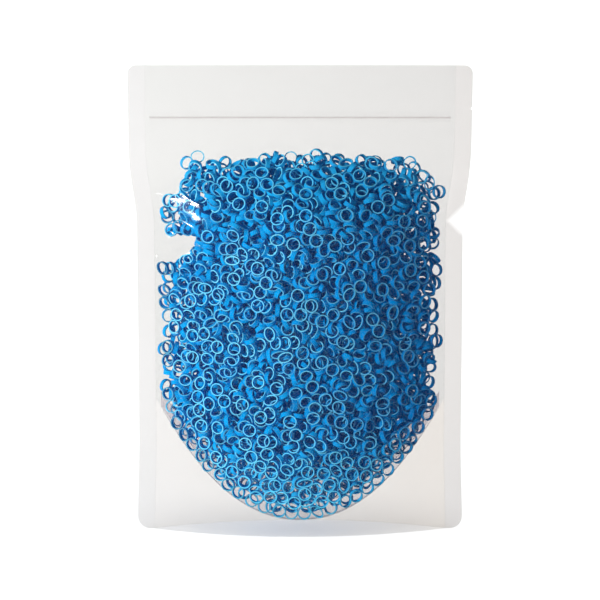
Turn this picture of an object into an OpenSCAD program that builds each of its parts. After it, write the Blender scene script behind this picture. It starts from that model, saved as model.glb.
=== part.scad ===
// Stand-up zip pouch filled with small elastic leg bands for poultry.
// Z is up, the front faces -Y, and the origin is on the floor at the centre of the base.

/* [Pouch] */
// Width of the flat pouch, side edge to side edge
pouch_w = 160; // [150:1:180]
// Height of the pouch
pouch_h = 220; // [210:1:240]
// Width of the weld down each side
side_seal_w = 8; // [6:0.5:12]
// Thickness of one sheet of film
film_t = 0.15; // [0.1:0.01:0.2]
// Radius of the two top corners
top_corner_r = 4; // [2:0.5:6]
// Radius of the two bottom corners
bottom_corner_r = 6; // [4:0.5:8]

/* [Filled shape] */
// Half the depth of the pouch where it stands on the floor
base_depth = 17; // [12:0.5:20]
// Half the depth of the pouch at its belly
belly_depth = 20; // [16:0.5:22]
// Height where the belly starts to thin towards the zip
shoulder_z = 146; // [140:1:150]
// Height of the top of the heap of bands
heap_top = 178; // [165:1:178]

/* [Gusset] */
// Height of the gusset's fold at the side welds
fold_side_z = 70; // [66:1:74]
// Height of the gusset's fold at the middle of the pouch
fold_mid_z = 36; // [32:1:40]
// Height of the curved base weld at the side welds
base_seal_side_z = 63; // [58:1:65]
// Height of the curved base weld at the middle of the pouch
base_seal_mid_z = 8; // [6:0.5:12]

/* [Zip] */
// Distance from the top edge down to the zip
zip_drop = 24; // [20:1:28]
// Height of the flange that is welded to the film
zip_flange_h = 5; // [4:0.5:6]
// Radius of the rib's round head
rib_r = 0.32; // [0.28:0.01:0.34]
// Distance from the zip up to the tear notch in the right weld
notch_rise = 4; // [3:0.5:8]
// Radius of the tear notch
notch_r = 1.2; // [0.8:0.1:2]

/* [Mouth] */
// Height of the line where the mouth films flex
mouth_z = 180; // [179:1:182]

/* [Leg band] */
// Outside diameter of a relaxed band
band_od = 6.3; // [6:0.1:6.5]
// Wall thickness of a band
band_wall = 0.5; // [0.4:0.05:0.8]
// Width of a band along its axis
band_w = 2; // [1.5:0.1:2.2]
// Distance between neighbouring bands in a lining layer
band_pitch = 7; // [6.8:0.1:8]
// Rows of bands held by one node
rows_per_group = 3; // [3:1:4]

/* [Hidden] */

FILM = [0.90, 0.92, 0.93, 0.4];
WELD = [0.86, 0.88, 0.90, 0.6];
ZIP = [0.93, 0.94, 0.95, 0.8];
BAND = [0.10, 0.52, 0.90];

zip_z = pouch_h - zip_drop;
flat_half_w = pouch_w / 2 - side_seal_w;
band_r = band_od / 2;
// Half of the gap between the two films where they lie together
film_gap = 0.2;
// The films' half gap beside the zip, which leaves room for rib and groove
zip_gap = 0.85;
// Half height of the zone that keeps the zip's gap, and the run-out above and below it
zip_zone = 3.5;
zip_runout = 5;
// Free play between the mouth films and the rest of the pouch
play = 0.4;
// Free play between a band and the film
band_play = 0.3;
// Columns and rows of the film's grid
columns = 24;
wall_rows = 32;
seal_rows = 5;
mouth_rows = 16;
// Exponents of the base weld's and the fold's rise from the middle to the sides
weld_bend = 2.1;
fold_bend = 3.2;
// How far the gusset reaches towards the side welds, as a share of the inner half width
gusset_reach = 0.965;
// The gusset's leaf leaves its weld on a narrow shelf: its width, its largest share of the
// depth, and its share of the rise
leaf_shelf_w = 4.6;
leaf_shelf_max = 0.5;
shelf_rise = 0.03;
// Share of the leaf's rise that is the shallow ridge up to the fold
leaf_ridge = 0.15;
// Exponent of the leaf's bend from upright to the ridge
leaf_bend = 12;
// The leaf's rows, as shares of the depth inside the shelf
leaf_rows = [0, 0.35, 0.65, 0.8, 0.9, 0.95, 0.98, 1];
bands_per_side_max = ceil(flat_half_w / band_pitch);
row_step = band_pitch * sqrt(3) / 2;

// 0 below from, 1 above to, smooth between
function smooth(v, from, to) =
    let (t = min(1, max(0, (v - from) / (to - from)))) t * t * (3 - 2 * t);

// Half depth of the bulge at the pouch's centre line
function bulge(z) =
    z < shoulder_z
        ? base_depth + (belly_depth - base_depth) * smooth(z, 0, 45)
        : belly_depth * (1 - smooth(z, shoulder_z, zip_z - zip_zone));

// Half gap between the two inner faces at the side welds, raised beside the zip
function lining_gap(z) =
    film_gap + (zip_gap - film_gap)
        * smooth(z, zip_z - zip_zone - zip_runout, zip_z - zip_zone)
        * (1 - smooth(z, zip_z + zip_zone, zip_z + zip_zone + zip_runout));

// Half inner width: the film keeps its length, so it draws in where the pouch bulges
function inner_half_w(z) = flat_half_w - 2 / 3 * pow(bulge(z), 2) / flat_half_w;

// Distance of the film's inner face from the mid plane
function inner_depth(x, z) =
    lining_gap(z) + bulge(z) * max(0, 1 - pow(x / inner_half_w(z), 2));

// Height of the curved base weld at the share u of the inner half width
function base_seal_z(u) =
    base_seal_mid_z + (base_seal_side_z - base_seal_mid_z) * pow(abs(u), weld_bend);

// Height of the gusset's fold at the share u of the inner half width
function fold_z(u) = fold_mid_z + (fold_side_z - fold_mid_z) * pow(abs(u), fold_bend);

// Share of the weld's depth taken by the shelf
function shelf_share(depth) = min(leaf_shelf_max, leaf_shelf_w / depth);

// Share of the gusset's rise that its leaf has reached at the share s of the weld's depth:
// a shelf beside the weld, then nearly upright, then a shallow ridge up to the fold
function leaf_rise(s, shelf) =
    let (v = s / (1 - shelf))
    v > 1
        ? shelf_rise * (1 - s) / shelf
        : shelf_rise + (1 - shelf_rise)
            * ((1 - leaf_ridge) * (1 - pow(v, leaf_bend)) + leaf_ridge * (1 - v));

// Height of the gusset's leaf at x and at the distance y from the mid plane
function leaf_z(x, y) =
    let (
        u = x / inner_half_w(base_seal_side_z),
        low = base_seal_z(u),
        depth = inner_depth(x, low),
        s = y / depth
    ) s >= 1 ? low : low + (fold_z(u) - low) * leaf_rise(max(0, s), shelf_share(depth));

// How much the round corner cuts off the side weld's outer edge at height z
function corner_cut(z) =
    z < bottom_corner_r
        ? bottom_corner_r - sqrt(pow(bottom_corner_r, 2) - pow(bottom_corner_r - z, 2))
        : z > pouch_h - top_corner_r
            ? top_corner_r - sqrt(pow(top_corner_r, 2) - pow(z - pouch_h + top_corner_r, 2))
            : 0;

// Closed sheet from two grids of points, rows first, outer face and inner face
module sheet(outer, inner) {
    rows = len(outer) - 1;
    cols = len(outer[0]) - 1;
    n = (rows + 1) * (cols + 1);
    function at(r, c, side) = side * n + r * (cols + 1) + c;
    points = [for (grid = [outer, inner], row = grid, p = row) p];
    faces = concat(
        [for (r = [0:rows - 1], c = [0:cols - 1]) each [
            [at(r, c, 0), at(r + 1, c + 1, 0), at(r, c + 1, 0)],
            [at(r, c, 0), at(r + 1, c, 0), at(r + 1, c + 1, 0)],
            [at(r, c, 1), at(r, c + 1, 1), at(r + 1, c + 1, 1)],
            [at(r, c, 1), at(r + 1, c + 1, 1), at(r + 1, c, 1)]]],
        [for (c = [0:cols - 1]) each [
            [at(0, c, 0), at(0, c + 1, 0), at(0, c + 1, 1)],
            [at(0, c, 0), at(0, c + 1, 1), at(0, c, 1)],
            [at(rows, c, 0), at(rows, c + 1, 1), at(rows, c + 1, 0)],
            [at(rows, c, 0), at(rows, c, 1), at(rows, c + 1, 1)]]],
        [for (r = [0:rows - 1]) each [
            [at(r, 0, 0), at(r, 0, 1), at(r + 1, 0, 1)],
            [at(r, 0, 0), at(r + 1, 0, 1), at(r + 1, 0, 0)],
            [at(r, cols, 0), at(r + 1, cols, 1), at(r, cols, 1)],
            [at(r, cols, 0), at(r + 1, cols, 0), at(r + 1, cols, 1)]]]
    );
    polyhedron(points = points, faces = faces, convexity = 6);
}

// Shares of the inner half width at the grid's columns, from left to right
function column_shares(reach = 1) = [for (c = [0:columns]) reach * (2 * c / columns - 1)];

// Point on the front film, raised from the inner face by t, at share u and height z
function front_point(u, z, t, side_play = 0) =
    let (x = u * (inner_half_w(z) - side_play)) [x, -inner_depth(x, z) - t, z];

// Front film between two heights given per column, t thick
module front_film(lows, highs, rows, t, t_in = 0, side_play = 0) {
    shares = column_shares();
    function grid(depth) = [for (r = [0:rows]) [for (c = [0:columns])
        front_point(shares[c], lows[c] + (highs[c] - lows[c]) * r / rows, depth, side_play)]];
    sheet(grid(t), grid(t_in));
}

module front_wall() {
    color(FILM) front_film(
        [for (u = column_shares()) base_seal_z(u)],
        [for (u = column_shares()) mouth_z],
        wall_rows, film_t);
}

module back_wall() {
    mirror([0, 1, 0]) front_wall();
}

// The front film and the gusset welded together below the curved weld line
module front_base_seal() {
    color(WELD) front_film(
        [for (u = column_shares()) 0],
        [for (u = column_shares()) base_seal_z(u)],
        seal_rows, film_t, -film_t);
}

module back_base_seal() {
    mirror([0, 1, 0]) front_base_seal();
}

// The gusset's free part: from the front weld up to the fold and down to the back weld
module bottom_gusset() {
    shares = column_shares(gusset_reach);
    weld_row = len(leaf_rows);
    // The upper face is the lower one moved out of the recess, so the leaf is one film thick
    function leaf_point(u, row, lift) =
        let (
            seam_z = base_seal_z(u),
            x = u * inner_half_w(seam_z),
            seam_depth = inner_depth(x, seam_z) - film_t,
            shelf = shelf_share(seam_depth),
            at_weld = abs(row) == weld_row,
            s = at_weld ? 1 : leaf_rows[abs(row)] * (1 - shelf),
            free = at_weld ? 0 : lift * min(1, seam_depth / belly_depth)
        ) [x,
            sign(row) * s * (seam_depth + free),
            seam_z + (fold_z(u) - seam_z) * leaf_rise(s, shelf) + lift];
    function grid(lift) =
        [for (row = [-weld_row:weld_row]) [for (u = shares) leaf_point(u, row, lift)]];
    color(FILM) sheet(grid(0), grid(1.4 * film_t));
}

// Flat weld of the two films on the right of the filled part, with round outer corners
module side_seal() {
    steps = 44;
    zs = concat(
        [for (a = [0:15:75]) bottom_corner_r * (1 - cos(a))],
        [for (s = [0:steps]) bottom_corner_r
            + (pouch_h - bottom_corner_r - top_corner_r) * s / steps],
        [for (a = [75:-15:0]) pouch_h - top_corner_r * (1 - cos(a))]);
    inner_edge = [for (z = zs) [inner_half_w(z), z]];
    outer_edge = [for (z = zs) [inner_half_w(z) + side_seal_w - corner_cut(z), z]];
    outline = concat(inner_edge, [for (i = [len(outer_edge) - 1:-1:0]) outer_edge[i]]);
    color(WELD)
        translate([0, film_t, 0])
            rotate([90, 0, 0])
                linear_extrude(2 * film_t) polygon(outline);
}

module left_side_seal() {
    mirror([1, 0, 0]) side_seal();
}

// The right weld has a half-round notch, where the header is torn off
module right_side_seal() {
    notch_z = zip_z + notch_rise;
    color(WELD) difference() {
        side_seal();
        translate([inner_half_w(notch_z) + side_seal_w, 2 * film_t, notch_z])
            rotate([90, 0, 0]) cylinder(h = 4 * film_t, r = notch_r, $fn = 32);
    }
}

module front_mouth_film() {
    color(FILM) front_film(
        [for (u = column_shares()) mouth_z + play],
        [for (u = column_shares()) pouch_h],
        mouth_rows, film_t, 0, play);
}

module back_mouth_film() {
    mirror([0, 1, 0]) front_mouth_film();
}

zip_half_l = flat_half_w - 2;
flange_t = 0.25;
// The flange's welded face stands just clear of the film's inner face
flange_y = zip_gap - 0.02;
// Play between the rib's head and the groove, and between the head and the lips
head_play = 0.08;
lip_play = 0.03;
groove_h = 1.5;

// Rib on the front film: flange, stem and round head along X
module zip_rib() {
    stem_h = 1.1 * rib_r;
    color(ZIP) union() {
        translate([-zip_half_l, -flange_y, zip_z - zip_flange_h / 2])
            cube([2 * zip_half_l, flange_t, zip_flange_h]);
        translate([-zip_half_l, -flange_y + flange_t / 2, zip_z - stem_h / 2])
            cube([2 * zip_half_l, flange_y - flange_t / 2, stem_h]);
        translate([-zip_half_l, 0, zip_z])
            rotate([0, 90, 0]) cylinder(h = 2 * zip_half_l, r = rib_r, $fn = 32);
    }
}

// Groove on the back film: flange and a block with a round channel and a narrower mouth
module zip_groove() {
    mouth_h = 2 * (rib_r + lip_play);
    lip_y = -rib_r - 0.02;
    color(ZIP) difference() {
        union() {
            translate([-zip_half_l, flange_y - flange_t, zip_z - zip_flange_h / 2])
                cube([2 * zip_half_l, flange_t, zip_flange_h]);
            translate([-zip_half_l, lip_y, zip_z - groove_h / 2])
                cube([2 * zip_half_l, flange_y - flange_t / 2 - lip_y, groove_h]);
        }
        translate([-zip_half_l - 1, 0, zip_z])
            rotate([0, 90, 0])
                cylinder(h = 2 * zip_half_l + 2, r = rib_r + head_play, $fn = 32);
        translate([-zip_half_l - 1, lip_y - 1, zip_z - mouth_h / 2])
            cube([2 * zip_half_l + 2, 1 - lip_y, mouth_h]);
    }
}

// One leg band, axis along Z, centred
module band() {
    rotate_extrude($fn = 40)
        translate([band_r - band_wall, -band_w / 2]) square([band_wall, band_w]);
}

// Slopes of the film at x, z
function slope_x(x, z) = inner_depth(x + 0.5, z) - inner_depth(x - 0.5, z);
function slope_z(x, z) = inner_depth(x, z + 0.5) - inner_depth(x, z - 0.5);

// True where a band of the front layer is clear of the back layer, the weld and the gusset
function band_fits(x, z) =
    let (
        far_x = abs(x) + band_r,
        low_z = z - band_r - 0.5,
        u = far_x / inner_half_w(z),
        need = band_w + 2 * band_play + 0.3
    ) u < 1
        && z > base_seal_z(u) + band_r
        && z < heap_top - band_r
        && inner_depth(far_x, z) > need
        && inner_depth(far_x, low_z) > need
        && leaf_z(x, inner_depth(x, low_z) - need) < low_z
        && leaf_z(far_x, inner_depth(far_x, low_z) - need) < low_z;

// A band lying against the inside of the front film
module lining_band(x, z) {
    dx = slope_x(x, z);
    dz = slope_z(x, z);
    lean = sqrt(1 + dx * dx + dz * dz);
    translate([x, -inner_depth(x, z) + (band_w / 2 + band_play) * lean, z])
        rotate([atan(dz) - 90, 0, -atan(dx)]) band();
}

// One group of rows of the layer of bands inside the front film
module front_bands(group) {
    first_row = (group - 1) * rows_per_group;
    color(BAND) for (row = [first_row:first_row + rows_per_group - 1]) {
        z = heap_top - band_r - 0.5 - row * row_step;
        shift = row % 2 == 0 ? 0 : band_pitch / 2;
        for (i = [-bands_per_side_max:bands_per_side_max]) {
            x = i * band_pitch + shift;
            if (band_fits(x, z)) lining_band(x, z);
        }
    }
}

module back_bands(group) {
    mirror([0, 1, 0]) front_bands(group);
}

front_wall();
back_wall();
bottom_gusset();
front_base_seal();
back_base_seal();
left_side_seal();
right_side_seal();
front_mouth_film();
back_mouth_film();
zip_rib();
zip_groove();
for (group = [1:9]) {
    front_bands(group);
    back_bands(group);
}
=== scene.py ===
"""A clear stand-up zip pouch filled with small elastic leg bands, dressed for display.

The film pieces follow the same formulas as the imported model: a pouch whose depth is a parabola
across its width, with a shoulder that thins towards the zip, a curved base weld and a folded
gusset. The bands are a heap of loose rings, relaxed inside the pouch until they stop overlapping.
"""

from __future__ import annotations

import itertools
import logging
import math
from dataclasses import dataclass, replace
from enum import Enum
import bpy
import numpy as np
from numpy.typing import NDArray
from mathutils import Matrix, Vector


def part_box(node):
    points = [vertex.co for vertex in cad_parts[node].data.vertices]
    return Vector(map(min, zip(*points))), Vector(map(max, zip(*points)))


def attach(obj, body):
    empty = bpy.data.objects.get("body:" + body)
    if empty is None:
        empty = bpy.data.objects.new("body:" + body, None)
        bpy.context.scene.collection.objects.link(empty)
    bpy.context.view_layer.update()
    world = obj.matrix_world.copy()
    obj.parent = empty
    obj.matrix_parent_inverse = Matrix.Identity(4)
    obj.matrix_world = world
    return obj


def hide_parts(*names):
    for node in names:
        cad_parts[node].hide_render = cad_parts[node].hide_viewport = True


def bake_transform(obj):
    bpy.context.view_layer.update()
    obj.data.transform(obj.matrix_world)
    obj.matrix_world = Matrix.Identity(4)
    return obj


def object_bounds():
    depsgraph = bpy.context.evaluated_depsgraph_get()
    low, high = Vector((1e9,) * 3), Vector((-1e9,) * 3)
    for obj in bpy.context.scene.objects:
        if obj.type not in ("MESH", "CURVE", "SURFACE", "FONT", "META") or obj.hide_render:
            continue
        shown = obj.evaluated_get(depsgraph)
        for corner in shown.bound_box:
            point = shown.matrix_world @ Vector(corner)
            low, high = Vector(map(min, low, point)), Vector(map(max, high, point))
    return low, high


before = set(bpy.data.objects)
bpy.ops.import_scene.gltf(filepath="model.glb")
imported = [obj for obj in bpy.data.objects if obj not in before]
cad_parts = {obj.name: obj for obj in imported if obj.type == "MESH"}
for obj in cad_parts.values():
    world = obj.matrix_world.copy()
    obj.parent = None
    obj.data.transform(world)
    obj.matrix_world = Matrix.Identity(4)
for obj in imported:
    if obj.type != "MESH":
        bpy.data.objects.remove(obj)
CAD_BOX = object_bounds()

Array = NDArray[np.float64]
Value = bpy.types.NodeSocket | float | tuple[float, ...]
MM = 0.001
log = logging.getLogger("leg_band_pack")


class Side(Enum):
    """The two faces of the pouch, by the sign of Y they lie on."""

    FRONT = -1.0
    BACK = 1.0


class Half(Enum):
    """The two halves of the mouth, by the sign of X they lie on."""

    LEFT = -1.0
    RIGHT = 1.0


def smoothstep(value: Array | float, low: float, high: float) -> Array:
    """Smooth step.

    Formula: 3 t squared minus 2 t cubed, with t running from 0 at low to 1 at high.

    Args:
        value: Where to evaluate.
        low: Value at and below which the result is 0.
        high: Value at and above which the result is 1.

    Returns:
        The step, in the shape of value.
    """
    t = np.clip((np.asarray(value, float) - low) / (high - low), 0.0, 1.0)
    return t * t * (3.0 - 2.0 * t)


# ---------------------------------------------------------------------------------------------
# The pouch's form
# ---------------------------------------------------------------------------------------------


@dataclass(frozen=True)
class Crease:
    """A soft fold in the film: a ridge of Gaussian section that fades out along its length."""

    x: float
    z: float
    angle: float
    length: float
    width: float
    height: float

    def relief(self, x: Array, z: Array) -> Array:
        """Height of the crease.

        Formula: height times exp(-(across/width)^2 - (along/length)^2), where along and across
        are the distances from the crease's middle along and across its direction.

        Args:
            x: Positions across the pouch.
            z: Heights.

        Returns:
            How far the crease stands out of the film.
        """
        cos, sin = math.cos(self.angle), math.sin(self.angle)
        along = (x - self.x) * cos + (z - self.z) * sin
        across = (z - self.z) * cos - (x - self.x) * sin
        return self.height * np.exp(-((across / self.width) ** 2) - (along / self.length) ** 2)


@dataclass(frozen=True)
class Pinch:
    """An oval place near a side weld where the two films draw together and no band gets in."""

    x: float
    z: float
    angle: float
    half_length: float
    half_height: float
    share: float = 0.8

    def radius(self, x: Array, z: Array, spare: float = 0.0) -> Array:
        """Distance from the oval's middle, 1 on its edge.

        Args:
            x: Positions across the pouch.
            z: Heights.
            spare: Extra room round the oval.

        Returns:
            The distances.
        """
        cos, sin = math.cos(self.angle), math.sin(self.angle)
        along = (x - self.x) * cos + (z - self.z) * sin
        across = (z - self.z) * cos - (x - self.x) * sin
        return np.hypot(along / (self.half_length + spare), across / (self.half_height + spare))

    def draw(self, x: Array, z: Array) -> Array:
        """Share of the depth that the films lose: share times (1 - r^2)^2 inside the oval."""
        return self.share * np.maximum(0.0, 1.0 - self.radius(x, z) ** 2) ** 2


PINCHES = (
    Pinch(-61.0 * MM, 135.0 * MM, 0.32, 13.0 * MM, 4.6 * MM),
    Pinch(-64.0 * MM, 165.0 * MM, 0.1, 8.0 * MM, 4.8 * MM),
)


@dataclass(frozen=True)
class PouchForm:
    """The filled pouch's shape, in metres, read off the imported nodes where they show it."""

    height: float
    half_w: float
    flat_half_w: float
    belly_depth: float
    mouth_z: float
    zip_z: float
    heap_top: float
    base_seal_side_z: float
    base_seal_mid_z: float
    base_depth: float = 17 * MM
    shoulder_z: float = 146 * MM
    belly_from_z: float = 45 * MM
    fold_mid_z: float = 36 * MM
    fold_side_z: float = 70 * MM
    weld_bend: float = 2.1
    fold_bend: float = 3.2
    film_t: float = 0.15 * MM
    film_gap: float = 0.2 * MM
    zip_gap: float = 0.85 * MM
    zip_zone: float = 3.5 * MM
    zip_runout: float = 5 * MM
    gusset_reach: float = 0.965
    leaf_shelf_w: float = 4.6 * MM
    leaf_shelf_max: float = 0.5
    shelf_rise: float = 0.03
    leaf_ridge: float = 0.15
    leaf_bend: float = 12.0
    sway_depth: float = 1.1 * MM

    @classmethod
    def from_frame(cls) -> PouchForm:
        """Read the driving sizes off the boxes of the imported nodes."""
        play = 0.4 * MM
        low, high = CAD_BOX
        wall_low, wall_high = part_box("front_wall")
        film_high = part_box("front_mouth_film")[1]
        zip_low, zip_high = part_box("zip_rib")
        return cls(
            height=high[2],
            half_w=high[0],
            flat_half_w=film_high[0] + play,
            belly_depth=-wall_low[1] - 0.35 * MM,
            mouth_z=wall_high[2],
            zip_z=(zip_low[2] + zip_high[2]) / 2,
            heap_top=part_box("front_bands_1")[1][2],
            base_seal_side_z=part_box("front_base_seal")[1][2],
            base_seal_mid_z=wall_low[2],
        )

    def bulge(self, z: Array) -> Array:
        """Half depth of the bulge at the centre line.

        Formula: a smooth step from the base's half depth to the belly's, and above the shoulder
        a smooth step down to nothing just below the zip.

        Args:
            z: Heights.

        Returns:
            The half depths.
        """
        grow = smoothstep(z, 0.0, self.belly_from_z)
        low = self.base_depth + (self.belly_depth - self.base_depth) * grow
        return low * (1.0 - smoothstep(z, self.shoulder_z, self.zip_z - self.zip_zone))

    def lining_gap(self, z: Array) -> Array:
        """Half gap between the two films at the side welds, raised beside the zip.

        Args:
            z: Heights.

        Returns:
            The half gaps.
        """
        below = self.zip_z - self.zip_zone
        above = self.zip_z + self.zip_zone
        near_zip = smoothstep(z, below - self.zip_runout, below)
        near_zip = near_zip * (1.0 - smoothstep(z, above, above + self.zip_runout))
        return self.film_gap + (self.zip_gap - self.film_gap) * near_zip

    def inner_half_w(self, z: Array) -> Array:
        """Half width between the side welds.

        Formula: the flat half width less two thirds of the bulge squared over that width, which
        keeps the length of the film's parabola.

        Args:
            z: Heights.

        Returns:
            The half widths.
        """
        return self.flat_half_w - 2.0 / 3.0 * self.bulge(z) ** 2 / self.flat_half_w

    def inner_depth(self, x: Array, z: Array) -> Array:
        """Distance of the film's inner face from the mid plane: the gap plus a parabola in x."""
        share = x / self.inner_half_w(z)
        return self.lining_gap(z) + self.bulge(z) * np.maximum(0.0, 1.0 - share**2)

    def slopes(self, x: Array, z: Array) -> tuple[Array, Array]:
        """Slopes of the inner face, by central differences of half a millimetre.

        Args:
            x: Positions across the pouch.
            z: Heights.

        Returns:
            The slopes across and up.
        """
        step = 0.5 * MM
        across = self.inner_depth(x + step, z) - self.inner_depth(x - step, z)
        upward = self.inner_depth(x, z + step) - self.inner_depth(x, z - step)
        return across / (2 * step), upward / (2 * step)

    def base_seal_z(self, u: Array) -> Array:
        """Height of the curved base weld at the share u of the inner half width."""
        rise = self.base_seal_side_z - self.base_seal_mid_z
        return self.base_seal_mid_z + rise * np.abs(u) ** self.weld_bend

    def fold_z(self, u: Array) -> Array:
        """Height of the gusset's fold at the share u of the inner half width."""
        rise = self.fold_side_z - self.fold_mid_z
        return self.fold_mid_z + rise * np.abs(u) ** self.fold_bend

    def shelf_share(self, depth: Array) -> Array:
        """Share of the weld's depth taken by the shelf on which the leaf leaves its weld."""
        return np.minimum(self.leaf_shelf_max, self.leaf_shelf_w / depth)

    def leaf_rise(self, s: Array, shelf: Array) -> Array:
        """Share of the gusset's rise reached at the share s of the weld's depth.

        Formula: a short shelf beside the weld, then 1 - v^12, nearly upright, blended with a
        straight ridge up to the fold.

        Args:
            s: Shares of the weld's depth, from 0 at the mid plane to 1 at the weld.
            shelf: Share of the depth that the shelf takes.

        Returns:
            The shares of the rise.
        """
        v = s / (1.0 - shelf)
        bend = (1.0 - self.leaf_ridge) * (1.0 - v**self.leaf_bend) + self.leaf_ridge * (1.0 - v)
        inside = self.shelf_rise + (1.0 - self.shelf_rise) * bend
        return np.where(v > 1.0, self.shelf_rise * (1.0 - s) / shelf, inside)

    def leaf_z(self, x: Array, y: Array) -> Array:
        """Height of the gusset's leaf.

        Args:
            x: Positions across the pouch.
            y: Distances from the mid plane.

        Returns:
            The heights.
        """
        u = x / self.inner_half_w(np.full_like(x, self.base_seal_side_z))
        low = self.base_seal_z(u)
        depth = self.inner_depth(x, low)
        share = np.clip(np.abs(y) / depth, 0.0, 1.0)
        return low + (self.fold_z(u) - low) * self.leaf_rise(share, self.shelf_share(depth))

    def sway(self, x: Array, z: Array) -> Array:
        """Sideways drift of the whole pack, front and back together.

        Formula: a slow sine up the height, weighted by the cube of the distance from the middle,
        plus a shallow bow of the header, so the welds and the top edge aren't ruler straight.

        Args:
            x: Positions across the pouch.
            z: Heights.

        Returns:
            The drift along Y.
        """
        share = x / self.half_w
        wave = np.sin(z * 2 * math.pi / (150 * MM) + 1.3 * np.sign(x)) * np.abs(share) ** 3
        header = smoothstep(z, self.mouth_z, self.height)
        bow = header * (1.4 * np.cos(2.2 * share) - 1.0)
        on_floor = smoothstep(z, 0.0, 30 * MM)
        return self.sway_depth * (wave + bow) * on_floor


def seeded_creases(form: PouchForm, seed: int) -> list[Crease]:
    """Small random creases: slack ones in the header and short ones beside the side welds.

    Args:
        form: The pouch.
        seed: Seed of the draw, different for the front and the back.

    Returns:
        The creases.
    """
    rng = np.random.default_rng(seed)
    creases = []
    for _ in range(16):
        creases.append(
            Crease(
                x=rng.uniform(-0.9, 0.9) * form.flat_half_w,
                z=rng.uniform(form.heap_top + 6 * MM, form.height),
                angle=rng.normal(0.0, 0.5),
                length=rng.uniform(12, 34) * MM,
                width=rng.uniform(2.5, 6) * MM,
                height=rng.normal(0.0, 0.22) * MM,
            )
        )
    for _ in range(34):
        edge = rng.choice((-1.0, 1.0))
        creases.append(
            Crease(
                x=edge * rng.uniform(0.72, 0.97) * form.flat_half_w,
                z=rng.uniform(50 * MM, form.heap_top),
                angle=edge * rng.normal(-0.35, 0.4),
                length=rng.uniform(4, 9) * MM,
                width=rng.uniform(1.6, 3.2) * MM,
                height=rng.normal(0.1, 0.3) * MM,
            )
        )
    return creases


def shoulder_creases(form: PouchForm) -> list[Crease]:
    """The larger creases where the film narrows over the front of the heap's shoulders."""
    left, right = -form.flat_half_w, form.flat_half_w
    return [
        Crease(left + 10 * MM, 164 * MM, -0.15, 9 * MM, 2.4 * MM, 0.9 * MM),
        Crease(left + 13 * MM, 146.5 * MM, -0.42, 11 * MM, 1.8 * MM, 0.9 * MM),
        Crease(left + 12 * MM, 138 * MM, -0.75, 9 * MM, 2.8 * MM, 1.0 * MM),
        Crease(left + 24 * MM, 158 * MM, -0.35, 9 * MM, 2.2 * MM, 0.4 * MM),
        Crease(right - 6 * MM, 148 * MM, 0.4, 8 * MM, 2.4 * MM, 1.0 * MM),
        Crease(right - 9 * MM, 160 * MM, 0.2, 9 * MM, 2.4 * MM, 0.7 * MM),
        Crease(left + 6 * MM, 185 * MM, 1.2, 7 * MM, 1.6 * MM, 0.5 * MM),
        Crease(-27 * MM, 185 * MM, 1.1, 6 * MM, 1.8 * MM, 0.4 * MM),
    ]


# ---------------------------------------------------------------------------------------------
# Meshes
# ---------------------------------------------------------------------------------------------


def mesh_from_quads(name: str, points: Array, quads: NDArray[np.int64]) -> bpy.types.Object:
    """Make an object from points and four-sided faces, set as whole arrays.

    Args:
        name: The piece's name.
        points: Vertices, one row each.
        quads: Vertex numbers, one row of four for each face.

    Returns:
        The new object, at the origin.
    """
    mesh = bpy.data.meshes.new(name)
    mesh.vertices.add(len(points))
    mesh.vertices.foreach_set("co", np.asarray(points, np.float32).ravel())
    mesh.loops.add(quads.size)
    mesh.loops.foreach_set("vertex_index", quads.astype(np.int32).ravel())
    mesh.polygons.add(len(quads))
    mesh.polygons.foreach_set("loop_start", np.arange(0, quads.size, 4, dtype=np.int32))
    mesh.polygons.foreach_set("use_smooth", np.ones(len(quads), bool))
    mesh.update(calc_edges=True)
    mesh.validate()
    piece = bpy.data.objects.new(name, mesh)
    bpy.context.scene.collection.objects.link(piece)
    return piece


class Edge(Enum):
    """The four edges of a grid of points, in the order in which a shell closes them."""

    FIRST_ROW = 0
    LAST_COLUMN = 1
    LAST_ROW = 2
    FIRST_COLUMN = 3


def shell_quads(rows: int, cols: int, joined: tuple[Edge, ...]) -> NDArray[np.int64]:
    """Faces of a thin closed shell between an outer and an inner grid of points.

    The outer grid comes first in the vertex list, rows first. Its faces point to the side from
    which its columns run anticlockwise to its rows; the inner grid's point the other way, and
    strips close the edges, except those where a neighbouring piece carries on.

    Args:
        rows: Number of rows of points.
        cols: Number of columns of points.
        joined: Edges that meet a neighbouring piece point for point.

    Returns:
        Vertex numbers, one row of four for each face.
    """
    number = np.arange(rows * cols).reshape(rows, cols)
    outer = np.stack([number[:-1, :-1], number[:-1, 1:], number[1:, 1:], number[1:, :-1]], -1)
    outer = outer.reshape(-1, 4)
    inner = outer[:, ::-1] + rows * cols

    def strip(edge: NDArray[np.int64]) -> NDArray[np.int64]:
        """Close one edge between the outer and the inner grid."""
        under = edge + rows * cols
        return np.stack([edge[:-1], under[:-1], under[1:], edge[1:]], -1)

    edges = {
        Edge.FIRST_ROW: number[0],
        Edge.LAST_COLUMN: number[:, -1],
        Edge.LAST_ROW: number[-1, ::-1],
        Edge.FIRST_COLUMN: number[::-1, 0],
    }
    strips = [strip(edge) for key, edge in edges.items() if key not in joined]
    return np.concatenate([outer, inner] + strips)


def shell(
    name: str, outer: Array, inner: Array, joined: tuple[Edge, ...] = ()
) -> bpy.types.Object:
    """Closed shell from two grids of points, outer and inner.

    Args:
        name: The piece's name.
        outer: Points of the outer face, rows by columns by 3.
        inner: Points of the inner face, the same shape.
        joined: Edges that meet a neighbouring piece point for point.

    Returns:
        The new object.
    """
    rows, cols = outer.shape[:2]
    points = np.concatenate([outer.reshape(-1, 3), inner.reshape(-1, 3)])
    return mesh_from_quads(name, points, shell_quads(rows, cols, joined))


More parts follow.
